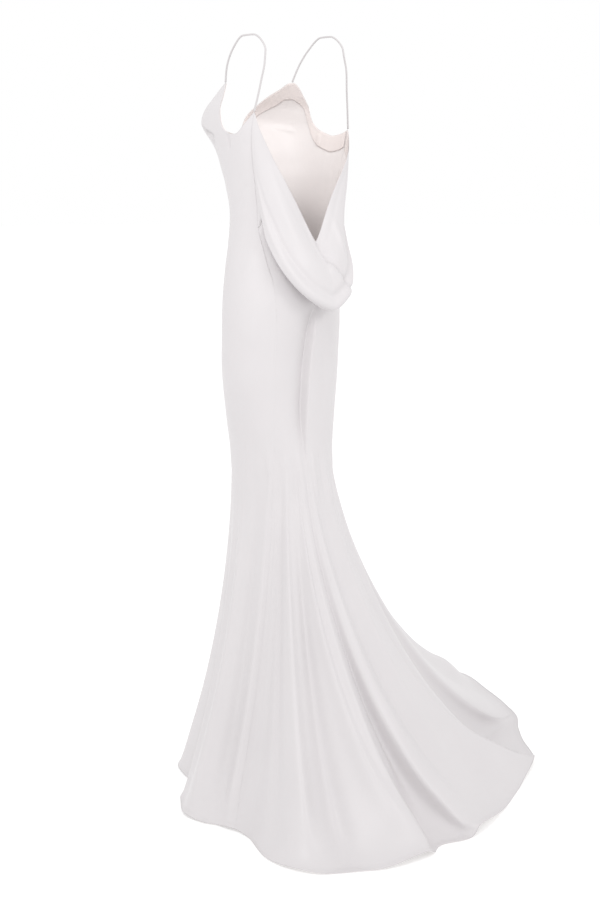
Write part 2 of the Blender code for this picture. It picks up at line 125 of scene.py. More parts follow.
@dataclass(frozen=True)
class SkirtFold:
    """One fold of the skirt, from the knee to the hem.

    Its line starts at its own angle at the knee and swings to its angle at the hem. Its crest may lean over.
    """

    angle: float
    knee_angle: float
    lower: float
    upper: float
    rise: float
    kept: float = 0.5
    begins: float = -0.25
    full: float = 0.95
    ends: float = 2.0
    swing: float = 3.0
    lean: float = 0.0

    def away(self, hem_angle: np.ndarray, fall: np.ndarray) -> np.ndarray:
        """Returns how far each place lies from the fold's line, in its own spreads."""
        line = mix(self.knee_angle, self.angle, np.clip(fall, 0.0, 1.0) ** self.swing)
        away = wrap(hem_angle - line)
        return away / np.where(away > 0.0, self.upper, self.lower)

    def growth(self, fall: np.ndarray) -> np.ndarray:
        """Returns how much of the fold there is at each share of the fall."""
        grown = ease(fall, self.begins, self.full) * np.maximum(fall, 0.0) ** 0.35
        return grown * (1.0 - ease(fall, self.ends - 0.25, self.ends))

    def height(self, hem_angle: np.ndarray, fall: np.ndarray) -> np.ndarray:
        """Works out how far the fold stands out.

        Args:
            hem_angle: angles at the hem.
            fall: 0 at the knee, 1 at the hem.

        Returns:
            The fold's height at each place.
        """
        settled = mix(1.0, self.kept, ease(fall, SETTLE_FROM, 1.0))
        return self.rise * settled * bell(self.away(hem_angle, fall)) * self.growth(fall)

    def turn(self, hem_angle: np.ndarray, fall: np.ndarray) -> np.ndarray:
        """Returns how far the leaning crest moves round the hem, in degrees."""
        if not self.lean:
            return np.zeros_like(hem_angle)
        settled = mix(1.0, 0.45, ease(fall, 0.93, 1.0))
        return self.lean * settled * bell(self.away(hem_angle, fall)) * self.growth(fall)


@dataclass(frozen=True)
class FineFold(SkirtFold):
    """A small fold, whose line runs evenly from the knee to the hem."""

    swing: float = 1.0


@dataclass(frozen=True)
class Crease:
    """One soft trough (negative) or ridge (positive) pressed into the body of the dress."""

    start: tuple[float, float]
    end: tuple[float, float]
    width: float
    depth: float
    bow: float = 0.0

    def height(self, angle: np.ndarray, height: np.ndarray, radius: float = 0.115) -> np.ndarray:
        """Works out how far the crease moves the cloth.

        Args:
            angle: angles round the body.
            height: heights above the floor.
            radius: the body's radius there, to turn angles into lengths.

        Returns:
            The crease's height at each place.
        """
        x = np.radians(wrap(angle - self.start[0])) * radius
        y = height - self.start[1]
        ex = math.radians(float(wrap(self.end[0] - self.start[0]))) * radius
        ey = self.end[1] - self.start[1]
        length = math.hypot(ex, ey)
        along = (x * ex + y * ey) / length**2
        across = (x * ey - y * ex) / length + self.bow * np.sin(np.pi * np.clip(along, 0.0, 1.0))
        taper = ease(along, -0.12, 0.25) * (1.0 - ease(along, 0.7, 1.12))
        return self.depth * bell(across / self.width) * taper


@dataclass(frozen=True)
class SeamHollow:
    """The long hollow at the left of the centre back seam, with its steep side at the seam."""

    depth: float = 0.0220
    wall: float = 0.0034
    reach: float = 0.031
    radius: float = 0.115
    top: float = 1.075
    foot: float = 0.700

    def height(self, angle: np.ndarray, height: np.ndarray, seam: Profile) -> np.ndarray:
        """Works out how far the hollow moves the cloth.

        Args:
            angle: angles round the body.
            height: heights above the floor.
            seam: the angle of the seam at each height.

        Returns:
            The hollow's height at each place.
        """
        away = np.maximum(np.radians(wrap(angle - seam.at(height))) * self.radius, 0.0)
        shape = (1.0 - bell(away / self.wall)) * np.exp(-((away / self.reach) ** 1.3))
        return -self.depth * shape * ease(height, self.foot, 0.86) * (1.0 - ease(height, 1.00, self.top))


@dataclass(frozen=True)
class Form:
    """The dress's shape: sections of the body, the fall of the skirt, its hem and its folds."""

    hold: float = 1.589
    join: float = 1.215
    knee: float = 0.700
    left_corner: float = 1.441
    right_corner: float = 1.402
    lift: float = 0.0024
    cup_depth: float = 0.035
    cup_side: float = 0.080
    cup_height: float = 1.416
    cup_spread: float = 0.048
    slack_depth: float = 0.031
    slack_angle: float = -58.0
    slack_spread: float = 27.0
    slack_from: float = 1.14
    slack_full: float = 1.37
    plan_power: float = 1.70
    plan_change: float = -0.42
    drop_power: float = 1.15
    drop_change: float = 0.42
    sections: Rows = (
        (0.700, 0.111, 0.106, 0.104),
        (0.755, 0.117, 0.100, 0.105),
        (0.810, 0.128, 0.097, 0.106),
        (0.935, 0.148, 0.094, 0.103),
        (1.005, 0.150, 0.098, 0.098),
        (1.060, 0.147, 0.099, 0.098),
        (1.130, 0.135, 0.094, 0.098),
        (1.175, 0.125, 0.088, 0.096),
        (1.235, 0.119, 0.084, 0.093),
        (1.300, 0.125, 0.083, 0.106),
        (1.335, 0.131, 0.083, 0.116),
        (1.372, 0.138, 0.086, 0.118),
        (1.418, 0.145, 0.096, 0.132),
        (1.441, 0.145, 0.104, 0.130),
        (1.470, 0.132, 0.100, 0.122),
        (1.500, 0.120, 0.098, 0.100),
    )
    side_seam: Profile = Profile((
        (0.700, 58.0),
        (0.830, 47.5),
        (1.015, 42.0),
        (1.090, 45.0),
        (1.160, 57.0),
        (1.235, 68.0),
        (1.340, 68.0),
        (1.441, 65.0),
    ))
    centre_seam: Profile = Profile((
        (0.700, 18.0),
        (0.800, 14.0),
        (0.900, 8.0),
        (1.050, 1.5),
        (1.215, 0.0),
    ))
    top_edge: Profile = Profile((
        (65.0, 1.441),
        (74.0, 1.420),
        (86.0, 1.400),
        (93.0, 1.398),
        (98.5, 1.403),
        (103.0, 1.413),
        (106.0, 1.432),
        (108.0, 1.452),
        (110.5, 1.471),
        (114.5, 1.486),
        (121.0, 1.496),
        (126.0, 1.495),
        (133.0, 1.483),
        (142.5, 1.466),
        (152.0, 1.440),
        (163.0, 1.410),
        (180.0, 1.392),
        (197.0, 1.410),
        (208.0, 1.440),
        (217.5, 1.466),
        (227.0, 1.483),
        (234.0, 1.495),
        (239.0, 1.496),
        (245.5, 1.486),
        (249.5, 1.471),
        (252.0, 1.452),
        (254.0, 1.432),
        (257.0, 1.413),
        (262.0, 1.400),
        (268.0, 1.393),
        (276.0, 1.388),
        (286.0, 1.392),
        (295.0, 1.402),
    ))
    fall_of_skirt: Profile = Profile((
        (-180.0, -180.0),
        (-145.0, -153.0),
        (-110.0, -126.0),
        (-75.0, -96.0),
        (-54.0, -66.0),
        (-38.0, -46.0),
        (-12.0, -23.0),
        (18.0, -1.0),
        (22.0, 7.0),
        (26.0, 13.0),
        (33.0, 31.0),
        (42.0, 44.0),
        (50.0, 56.0),
        (58.0, 69.0),
        (75.0, 80.0),
        (100.0, 97.0),
        (122.0, 126.0),
        (142.0, 153.0),
        (162.0, 168.0),
        (180.0, 180.0),
    ))
    hem: Profile = Profile((
        (-180.0, 0.252),
        (-168.0, 0.262),
        (-158.0, 0.318),
        (-148.0, 0.352),
        (-137.0, 0.408),
        (-126.0, 0.490),
        (-115.0, 0.545),
        (-104.0, 0.632),
        (-96.0, 0.684),
        (-88.0, 0.695),
        (-79.0, 0.682),
        (-71.0, 0.655),
        (-64.0, 0.610),
        (-57.0, 0.586),
        (-46.0, 0.575),
        (-35.0, 0.530),
        (-24.0, 0.508),
        (-12.0, 0.500),
        (-1.0, 0.496),
        (7.0, 0.472),
        (13.0, 0.490),
        (22.0, 0.492),
        (31.0, 0.480),
        (41.0, 0.470),
        (47.0, 0.447),
        (54.0, 0.401),
        (62.0, 0.319),
        (69.0, 0.292),
        (77.0, 0.286),
        (84.0, 0.292),
        (92.0, 0.289),
        (99.0, 0.278),
        (110.0, 0.250),
        (120.0, 0.224),
        (130.0, 0.212),
        (140.0, 0.222),
        (150.0, 0.236),
        (157.0, 0.240),
        (168.0, 0.243),
        (180.0, 0.252),
    ))
    folds: tuple[SkirtFold, ...] = (
        SkirtFold(-151.0, -151.0, 9.0, 9.0, 0.024, 0.50),
        SkirtFold(-127.0, -127.0, 9.0, 9.0, 0.028, 0.60),
        SkirtFold(-91.0, -91.0, 13.0, 10.0, 0.080, 0.45),
        SkirtFold(-60.0, -58.0, 9.0, 8.0, -0.042, 0.30),
        SkirtFold(-44.5, -29.0, 3.6, 10.0, 0.036, 0.40),
        SkirtFold(-23.0, -14.0, 8.0, 8.0, 0.006, 0.30),
        SkirtFold(-7.0, 0.0, 9.0, 3.4, 0.040, 0.55),
        SkirtFold(15.5, 13.5, 3.4, 9.0, 0.036, 0.45),
        SkirtFold(46.0, 46.0, 7.0, 6.0, 0.024, 0.30),
        SkirtFold(70.0, 70.0, 5.0, 6.0, 0.022, 0.30),
        SkirtFold(95.0, 95.0, 8.0, 7.0, 0.016, 0.40),
        SkirtFold(153.0, 153.0, 9.0, 8.0, 0.010, 0.50),
    )
    leaning_folds: tuple[SkirtFold, ...] = (
        SkirtFold(-44.5, -29.0, 3.4, 6.0, 0.0, lean=-4.6, begins=0.0, full=0.6),
        SkirtFold(-74.0, -70.0, 7.0, 4.6, 0.0, begins=0.0, full=0.5, ends=1.03, swing=1.0, lean=6.5),
        SkirtFold(-7.0, 0.0, 6.0, 3.4, 0.0, lean=4.6, begins=-0.1, full=0.45),
        SkirtFold(15.0, 13.0, 3.6, 5.0, 0.0, lean=-3.0, begins=0.6, full=0.95),
    )
    fine_folds: tuple[FineFold, ...] = (
        FineFold(73.0, 73.0, 2.6, 3.6, 0.010, 0.4, -0.5, 0.35, 1.10),
        FineFold(62.0, 63.0, 3.6, 3.6, 0.007, 0.4, -0.3, 0.4, 1.0),
        FineFold(82.0, 82.0, 3.0, 3.0, -0.007, 0.4, -0.3, 0.4, 0.95),
        FineFold(42.0, 46.0, 2.8, 3.2, 0.013, 0.4, -0.2, 0.35, 0.95),
        FineFold(51.0, 54.0, 2.4, 2.4, -0.009, 0.4, -0.2, 0.5, 1.0),
        FineFold(33.0, 32.0, 3.8, 4.2, -0.015, 0.4, 0.0, 0.40, 1.15),
        FineFold(16.0, 24.0, 2.2, 3.2, 0.013, 0.4, -0.15, 0.35, 1.0),
        FineFold(8.5, 8.0, 3.2, 4.5, 0.022, 0.2, -0.25, 0.6, 0.92),
        FineFold(-4.0, -4.0, 2.4, 2.6, 0.008, 0.4, -0.6, 0.1, 0.8),
        FineFold(-12.0, -12.0, 4.0, 4.0, -0.008, 0.4, -0.3, 0.5, 1.1),
        FineFold(-20.0, -22.0, 3.0, 3.5, 0.006, 0.4, -0.6, 0.1, 0.8),
        FineFold(-30.0, -28.0, 4.0, 4.0, -0.005, 0.4, -0.1, 0.6, 1.1),
        FineFold(-84.0, -80.0, 2.6, 3.2, -0.010, 0.4, 0.2, 0.8, 1.2),
        FineFold(92.0, 94.0, 3.0, 3.5, 0.006, 0.4, -0.3, 0.4, 1.1),
        FineFold(102.0, 102.0, 4.0, 4.0, -0.006, 0.4, -0.2, 0.5, 1.2),
        FineFold(112.0, 114.0, 4.0, 5.0, 0.007, 0.5, -0.2, 0.6, 2.0),
        FineFold(132.0, 130.0, 6.0, 5.0, -0.007, 0.5, -0.1, 0.7, 2.0),
        FineFold(172.0, 174.0, 5.0, 5.0, 0.006, 0.5, -0.2, 0.6, 2.0),
        FineFold(-140.0, -142.0, 4.0, 4.0, -0.006, 0.5, -0.2, 0.6, 2.0),
        FineFold(-165.0, -160.0, 4.0, 5.0, -0.006, 0.5, -0.1, 0.6, 2.0),
        FineFold(-112.0, -110.0, 4.0, 4.0, -0.008, 0.5, -0.1, 0.6, 2.0),
    )
    creases: tuple[Crease, ...] = (
        Crease((-14.0, 1.050), (-10.0, 0.800), 0.020, -0.0030),
        Crease((62.0, 0.770), (60.0, 0.640), 0.006, 0.0026),
        Crease((50.0, 0.760), (52.0, 0.640), 0.007, -0.0016),
        Crease((42.0, 0.750), (42.0, 0.640), 0.007, 0.0022),
        Crease((33.0, 0.740), (32.0, 0.640), 0.006, -0.0020),
        Crease((26.0, 0.760), (25.0, 0.640), 0.006, 0.0024),
        Crease((10.0, 0.760), (8.0, 0.640), 0.006, 0.0024),
        Crease((0.0, 0.750), (-4.0, 0.640), 0.006, -0.0018),
        Crease((-10.0, 0.745), (-12.0, 0.640), 0.007, 0.0020),
        Crease((84.0, 0.790), (92.0, 0.660), 0.012, 0.0022),
        Crease((76.0, 1.300), (96.0, 1.245), 0.010, -0.0016, 0.004),
        Crease((82.0, 1.250), (108.0, 1.215), 0.009, 0.0014, 0.003),
        Crease((72.0, 1.190), (92.0, 1.120), 0.016, -0.0024, 0.006),
        Crease((50.0, 1.080), (66.0, 0.980), 0.018, 0.0020, 0.004),
        Crease((118.0, 1.392), (134.0, 1.404), 0.0034, -0.0050),
        Crease((121.0, 1.388), (128.0, 1.372), 0.0034, -0.0036),
        Crease((122.0, 1.402), (138.0, 1.412), 0.0045, 0.0016),
        Crease((97.0, 1.398), (98.5, 1.368), 0.0032, -0.0034),
        Crease((242.0, 1.396), (226.0, 1.404), 0.0038, -0.0018),
        Crease((263.0, 1.392), (261.5, 1.366), 0.0034, -0.0022),
        Crease((180.0, 1.385), (180.0, 1.315), 0.011, -0.0040),
        Crease((-70.0, 1.190), (-96.0, 1.120), 0.016, -0.0024, -0.006),
        Crease((-90.0, 0.790), (-84.0, 0.660), 0.012, 0.0022),
        Crease((150.0, 0.800), (152.0, 0.660), 0.012, 0.0020),
        Crease((205.0, 0.790), (208.0, 0.660), 0.012, 0.0022),
    )
    hollow: SeamHollow = SeamHollow()

    def body(self, angle: np.ndarray, height: np.ndarray) -> np.ndarray:
        """Gives the surface above the knee.

        Args:
            angle: angles round the body.
            height: heights above the floor.

        Returns:
            Points, with the coordinates last.
        """
        turn = np.radians(angle)
        away = wrap(angle - self.slack_angle) / self.slack_spread
        slack = self.slack_depth * bell(away) * ease(height, self.slack_from, self.slack_full)
        sideways = (Profile(self.sections, 1).at(height) + slack) * np.sin(turn)
        facing = np.cos(turn)
        across = (np.abs(sideways) - self.cup_side) / self.cup_spread
        up = (height - self.cup_height) / self.cup_spread
        cup = self.cup_depth * np.exp(-across**2 - up**2) * np.clip(-2.0 * facing, 0.0, 1.0)
        back = (Profile(self.sections, 2).at(height) + slack) * facing
        front = (Profile(self.sections, 3).at(height) + slack) * facing - cup
        return np.stack([sideways, np.where(facing >= 0.0, back, front), height + 0.0 * angle], axis=-1)

    def skirt(self, angle: np.ndarray, fall: np.ndarray) -> np.ndarray:
        """Gives the surface below the knee.

        Args:
            angle: angles at the knee.
            fall: 0 at the knee, 1 at the hem.

        Returns:
            Points, with the coordinates last.
        """
        knee = self.body(angle, np.full_like(angle, self.knee))
        hem_angle = self.fall_of_skirt.at(wrap(angle))
        reach = self.hem.at(hem_angle)
        leaning = sum(fold.turn(hem_angle, fall) for fold in self.leaning_folds)
        turn = np.radians(hem_angle + leaning)
        share = np.clip((reach - 0.25) / 0.30, 0.0, 1.1)
        plan_power = self.plan_power + self.plan_change * share
        drop_power = self.drop_power + self.drop_change * share
        out = np.stack([reach * np.sin(turn), reach * np.cos(turn)], axis=-1) - knee[..., :2]
        run = np.linalg.norm(out, axis=-1)
        plan = fall**plan_power
        outward = run * plan_power * np.maximum(fall, 0.01) ** (plan_power - 1.0)
        downward = self.knee * drop_power * np.maximum(1.0 - fall, 0.002) ** (drop_power - 1.0)
        length = np.hypot(outward, downward)
        rise = sum(fold.height(hem_angle, fall) for fold in self.folds + self.fine_folds)
        height = self.knee * np.maximum(1.0 - fall, 0.0) ** drop_power + rise * outward / length
        flat = knee[..., :2] + out * plan[..., None] + out * (rise * downward / length / run)[..., None]
        return np.concatenate([flat, np.maximum(height, self.lift)[..., None]], axis=-1)

    def surface(self, angle: np.ndarray, level: np.ndarray) -> np.ndarray:
        """Gives the whole surface.

        Args:
            angle: angles round the body.
            level: heights above the knee, or minus the fall below it.

        Returns:
            Points, with the coordinates last.
        """
        upper = self.body(angle, self.knee + np.maximum(level, 0.0))
        lower = self.skirt(angle, np.clip(-level, 0.0, 1.0))
        return np.where((level >= 0.0)[..., None], upper, lower)

    def pressed(self, angle: np.ndarray, points: np.ndarray) -> np.ndarray:
        """Returns how far the body's creases move the cloth at each point."""
        hollow = self.hollow.height(angle, points[..., 2], self.centre_seam)
        return hollow + sum(crease.height(angle, points[..., 2]) for crease in self.creases)

    def corner(self, side: Side) -> float:
        """Returns the height of the back corner on a side."""
        return self.left_corner if side is Side.LEFT else self.right_corner


@dataclass(frozen=True)
class SatinFinish:
    """Satin-back crepe: a soft sheen over a fine weave, with a matt blush wrong side."""

    name: str
    colour: tuple[float, float, float] = (0.640, 0.615, 0.623)
    wrong_side: tuple[float, float, float] = (0.800, 0.755, 0.745)
    roughness: float = 0.40
    sheen: float = 0.08
    weave: float = 0.06
    threads: float = 1500.0

    def make(self) -> bpy.types.Material:
        """Builds the node material.

        Returns:
            The new material.
        """
        material = bpy.data.materials.new(self.name)
        material.use_nodes = True
        tree = material.node_tree
        nodes = tree.nodes
        links = tree.links
        shader = nodes["Principled BSDF"]
        shader.inputs["Sheen Weight"].default_value = self.sheen
        shader.inputs["Sheen Roughness"].default_value = 0.45
        shader.inputs["IOR"].default_value = 1.46
        place = nodes.new("ShaderNodeTexCoord")
        cloud = nodes.new("ShaderNodeTexNoise")
        cloud.inputs["Scale"].default_value = 9.0
        cloud.inputs["Detail"].default_value = 3.0
        links.new(place.outputs["Object"], cloud.inputs["Vector"])
        slub = nodes.new("ShaderNodeTexNoise")
        slub.inputs["Scale"].default_value = 320.0
        slub.inputs["Detail"].default_value = 4.0
        links.new(place.outputs["Object"], slub.inputs["Vector"])
        warp = nodes.new("ShaderNodeTexWave")
        warp.bands_direction = "X"
        warp.inputs["Scale"].default_value = self.threads / (2.0 * math.pi)
        warp.inputs["Distortion"].default_value = 0.6
        weft = nodes.new("ShaderNodeTexWave")
        weft.bands_direction = "Y"
        weft.inputs["Scale"].default_value = self.threads * 0.7 / (2.0 * math.pi)
        weft.inputs["Distortion"].default_value = 0.6
        for wave in (warp, weft):
            links.new(place.outputs["UV"], wave.inputs["Vector"])
        weave = nodes.new("ShaderNodeMath")
        weave.operation = "MULTIPLY"
        links.new(warp.outputs["Fac"], weave.inputs[0])
        links.new(weft.outputs["Fac"], weave.inputs[1])
        grain = nodes.new("ShaderNodeMath")
        grain.operation = "MULTIPLY_ADD"
        grain.inputs[1].default_value = 0.5
        links.new(slub.outputs["Fac"], grain.inputs[0])
        links.new(weave.outputs["Value"], grain.inputs[2])
        bump = nodes.new("ShaderNodeBump")
        bump.inputs["Strength"].default_value = self.weave
        bump.inputs["Distance"].default_value = 0.0004
        links.new(grain.outputs["Value"], bump.inputs["Height"])
        links.new(bump.outputs["Normal"], shader.inputs["Normal"])
        tone = nodes.new("ShaderNodeMapRange")
        tone.inputs["To Min"].default_value = 0.975
        tone.inputs["To Max"].default_value = 1.02
        links.new(cloud.outputs["Fac"], tone.inputs["Value"])
        inside = nodes.new("ShaderNodeAttribute")
        inside.attribute_name = "inside"
        face = nodes.new("ShaderNodeMix")
        face.data_type = "RGBA"
        face.inputs["A"].default_value = (*self.colour, 1.0)
        face.inputs["B"].default_value = (*self.wrong_side, 1.0)
        links.new(inside.outputs["Fac"], face.inputs["Factor"])
        shade = nodes.new("ShaderNodeVectorMath")
        shade.operation = "SCALE"
        links.new(face.outputs["Result"], shade.inputs["Vector"])
        links.new(tone.outputs["Result"], shade.inputs["Scale"])
        # Painted shade: darkens the colour to 0.80 of itself along the hem's stitch line.
        painted_hem_shade = nodes.new("ShaderNodeAttribute")
        painted_hem_shade.attribute_name = "painted_hem_shade"
        sewn = nodes.new("ShaderNodeMix")
        sewn.data_type = "RGBA"
        sewn.inputs["B"].default_value = tuple(0.80 * c for c in self.colour) + (1.0,)
        links.new(painted_hem_shade.outputs["Fac"], sewn.inputs["Factor"])
        links.new(shade.outputs["Vector"], sewn.inputs["A"])
        links.new(sewn.outputs["Result"], shader.inputs["Base Color"])
        gloss = nodes.new("ShaderNodeMapRange")
        gloss.inputs["To Min"].default_value = self.roughness - 0.05
        gloss.inputs["To Max"].default_value = self.roughness + 0.08
        links.new(slub.outputs["Fac"], gloss.inputs["Value"])
        links.new(gloss.outputs["Result"], shader.inputs["Roughness"])
        material.diffuse_color = (*self.colour, 1.0)
        return material


@dataclass
class Cloth:
    """A thin cloth shell made from a grid of points, with its weave laid along the grid."""

    name: str
    node: str
    slot: str
    finish: SatinFinish
    wall: float = 0.0007
    settle: float = 0.0003
    hem_depth: float = 0.0
    seam_sides: tuple[bool, bool] = (False, False)
    seam_roll: float = 0.0

    def normals(self, points: np.ndarray) -> np.ndarray:
        """Works out the grid's unit normals.

        Args:
            points: the grid, rows by columns by coordinates.

        Returns:
            A normal for each point.
        """
        along = np.gradient(points, axis=1)
        down = np.gradient(points, axis=0)
        normal = np.cross(along, down)
        length = np.linalg.norm(normal, axis=-1, keepdims=True)
        return normal / np.maximum(length, 1e-12)

    def lengths(self, points: np.ndarray) -> tuple[np.ndarray, np.ndarray]:
        """Measures the grid along its rows and columns.

        Args:
            points: the grid.

        Returns:
            The length from the first column, and the length from the first row, at each point.
        """
        across = np.linalg.norm(np.diff(points, axis=1), axis=-1)
        down = np.linalg.norm(np.diff(points, axis=0), axis=-1)
        rows, columns = points.shape[:2]
        u = np.concatenate([np.zeros((rows, 1)), np.cumsum(across, axis=1)], axis=1)
        v = np.concatenate([np.zeros((1, columns)), np.cumsum(down, axis=0)], axis=0)
        return u, v

    def sewn(self, points: np.ndarray) -> tuple[np.ndarray, np.ndarray]:
        """Works out how the cloth settles and rolls into its seams and hem, and the painted shade along its hem's
        stitch line.

        Args:
            points: the grid.

        Returns:
            The distance to move each point out, and how much painted shade it carries along the hem.
        """
        u, v = self.lengths(points)
        move = np.full(points.shape[:2], -self.settle)
        painted_hem_shade = np.zeros(points.shape[:2])
        for first, wanted in zip((True, False), self.seam_sides):
            if not wanted:
                continue
            away = u if first else u[:, -1:] - u
            move += self.seam_roll * bell((away - 0.0050) / 0.0030)
        if self.hem_depth:
            away = v[-1:, :] - v
            move += 0.0005 * (1.0 - ease(away, self.hem_depth * 0.8, self.hem_depth * 1.2))
            # Painted shade along the hem's stitch line, 0.18 at most.
            painted_hem_shade = np.maximum(painted_hem_shade, 0.18 * bell((away - self.hem_depth) / 0.0011))
        return move, painted_hem_shade

    def make(self, points: np.ndarray, outward: np.ndarray, press: np.ndarray | float = 0.0) -> bpy.types.Object:
        """Args:
            points: the outer grid.
            outward: the grid's outward normals.
            press: extra distance to move each point along its normal.

        Returns:
            The finished object.
        """
        sewn, painted_hem_shade = self.sewn(points)
        u, v = self.lengths(points)
        outer = points + outward * (press + sewn)[..., None]
        inner = outer - outward * self.wall
        rows, columns = points.shape[:2]
        count = rows * columns
        everything = np.concatenate([outer.reshape(-1, 3), inner.reshape(-1, 3)])
        everything[:, 2] -= FORM.hold
        index = np.arange(count).reshape(rows, columns)
        a, b = index[:-1, :-1].ravel(), index[:-1, 1:].ravel()
        c, d = index[1:, 1:].ravel(), index[1:, :-1].ravel()
        front = np.stack([d, c, b, a], axis=1)
        back = np.stack([a, b, c, d], axis=1) + count
        rim = np.concatenate([index[0, :], index[1:, -1], index[-1, -2::-1], index[-2:0:-1, 0]])
        nxt = np.roll(rim, -1)
        edge = np.stack([rim, nxt, nxt + count, rim + count], axis=1)
        faces = np.concatenate([front, back, edge])
        first = outer[0, 0] - inner[0, 0]
        normal = np.cross(outer[1, 0] - outer[0, 0], outer[0, 1] - outer[0, 0])
        if np.dot(first, normal) < 0.0:
            faces = faces[:, ::-1]
        mesh = bpy.data.meshes.new(self.name)
        mesh.from_pydata(everything.tolist(), [], faces.tolist())
        uv = mesh.uv_layers.new(name="weave")
        corners = np.empty(len(mesh.loops), np.int32)
        mesh.loops.foreach_get("vertex_index", corners)
        flat = np.concatenate([np.stack([u.ravel(), v.ravel()], axis=1)] * 2)
        uv.data.foreach_set("uv", flat[corners].ravel())
        inside = mesh.attributes.new("inside", "FLOAT", "POINT")
        inside.data.foreach_set("value", np.repeat([0.0, 1.0], count))
        # Painted shade along the hem's stitch line, on the outer face only.
        hem_shade_layer = mesh.attributes.new("painted_hem_shade", "FLOAT", "POINT")
        hem_shade_layer.data.foreach_set("value", np.concatenate([painted_hem_shade.ravel(), np.zeros(count)]))
        mesh.materials.append(self.finish.make())
        smooth = np.ones(len(faces), bool)
        smooth[-len(edge):] = False
        mesh.polygons.foreach_set("use_smooth", smooth)
        piece = bpy.data.objects.new(self.name, mesh)
        bpy.context.scene.collection.objects.link(piece)
        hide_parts(self.node)
        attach(piece, "root")
        area = sum(polygon.area for polygon in mesh.polygons) / 2.0
        LOG.info("%s: %d faces, %.3f square metres, %.2f by %.2f", self.name, len(faces), area, u.max(), v.max())
        return piece


@dataclass
class LongPanel(Cloth):
    """A panel of the dress that runs down to the hem."""

    columns: int = 100
    body_rows: int = 46
    skirt_rows: int = 84
    flat: tuple[float, float] = (1.0, 1.0)
    area: float = 1.0

    def across(self) -> np.ndarray:
        """Returns the columns' shares, with a narrow column at each seam that keeps the light even over it."""
        return np.concatenate([[0.0], np.linspace(0.0008, 0.9992, self.columns - 1), [1.0]])

    def levels(self, top_rows: int) -> list[tuple[Level, float]]:
        """Lists the panel's rows.

        Args:
            top_rows: rows above the join, none for a back panel.

        Returns:
            Each row's stretch and its share along it.
        """
        rows = [(Level.TOP, k / top_rows) for k in range(top_rows)]
        rows += [(Level.BODY, k / self.body_rows) for k in range(self.body_rows)]
        rows += [(Level.SKIRT, k / self.skirt_rows) for k in range(self.skirt_rows + 1)]
        return rows

    def finish_panel(self, angle: np.ndarray, level: np.ndarray) -> bpy.types.Object:
        """Makes the panel from its angles and levels.

        Args:
            angle: the grid's angles.
            level: the grid's levels.

        Returns:
            The finished panel.
        """
        points = FORM.surface(angle, level)
        outward = self.normals(points)
        middle = points.reshape(-1, 3).mean(0)
        row = points.shape[0] // 3
        side = points[row, points.shape[1] // 2] - np.array([0.0, 0.0, middle[2]])
        if np.dot(outward[row, points.shape[1] // 2][:2], side[:2]) < 0.0:
            outward = -outward
        press = FORM.pressed(angle, points) * ease(points[..., 2], 0.60, 0.66)
        piece = self.make(points, outward, press)
        return piece


@dataclass
class FrontPanel(LongPanel):
    """The front, one panel from one side-back seam round to the other, with its cups."""

    top_rows: int = 72

    def build(self) -> bpy.types.Object:
        """Builds the front.

        Returns:
            The finished panel.
        """
        across = self.across()
        gap = 0.000004 / 0.13
        angles = []
        levels = []
        for stretch, share in self.levels(self.top_rows):
            if stretch is Level.TOP:
                left = FORM.side_seam.at(mix(FORM.left_corner, FORM.join, share))
                right = FORM.side_seam.at(mix(FORM.right_corner, FORM.join, share))
                start = FORM.side_seam.at(FORM.left_corner)
                end = FORM.side_seam.at(FORM.right_corner)
                top = FORM.top_edge.at(mix(start, 360.0 - end, across))
                top[0] = FORM.left_corner
                top[-1] = FORM.right_corner
                level = mix(top, FORM.join, share) - FORM.knee
            elif stretch is Level.BODY:
                height = mix(FORM.join, FORM.knee, share)
                left = right = FORM.side_seam.at(height)
                level = np.full_like(across, height - FORM.knee)
            else:
                left = right = FORM.side_seam.at(FORM.knee)
                level = np.full_like(across, -share)
            shade = math.degrees(gap)
            angles.append(mix(left + shade, 360.0 - right - shade, across))
            levels.append(level)
        return self.finish_panel(np.array(angles), np.array(levels))


@dataclass
class BackPanel(LongPanel):
    """A back skirt, from under the cowl down to the train."""

    side: Side = Side.LEFT

    def build(self) -> bpy.types.Object:
        """Builds the back skirt.

        Returns:
            The finished panel.
        """
        across = self.across()
        shade = math.degrees(0.000004 / 0.11)
        sign = self.side.value
        angles = []
        levels = []
        for stretch, share in self.levels(0):
            if stretch is Level.SKIRT:
                centre = FORM.centre_seam.at(FORM.knee)
                edge = FORM.side_seam.at(FORM.knee)
                level = np.full_like(across, -share)
            else:
                seam = mix(FORM.join, FORM.knee, share)
                centre = FORM.centre_seam.at(seam)
                edge = FORM.side_seam.at(seam)
                top = COWL_SHAPE.tuck(sign * across) - 0.0003
                height = mix(top, FORM.knee, share)
                height[-1] = seam
                level = height - FORM.knee
            angles.append(mix(centre + sign * shade, sign * (edge - shade), across))
            levels.append(level)
        return self.finish_panel(np.array(angles), np.array(levels))


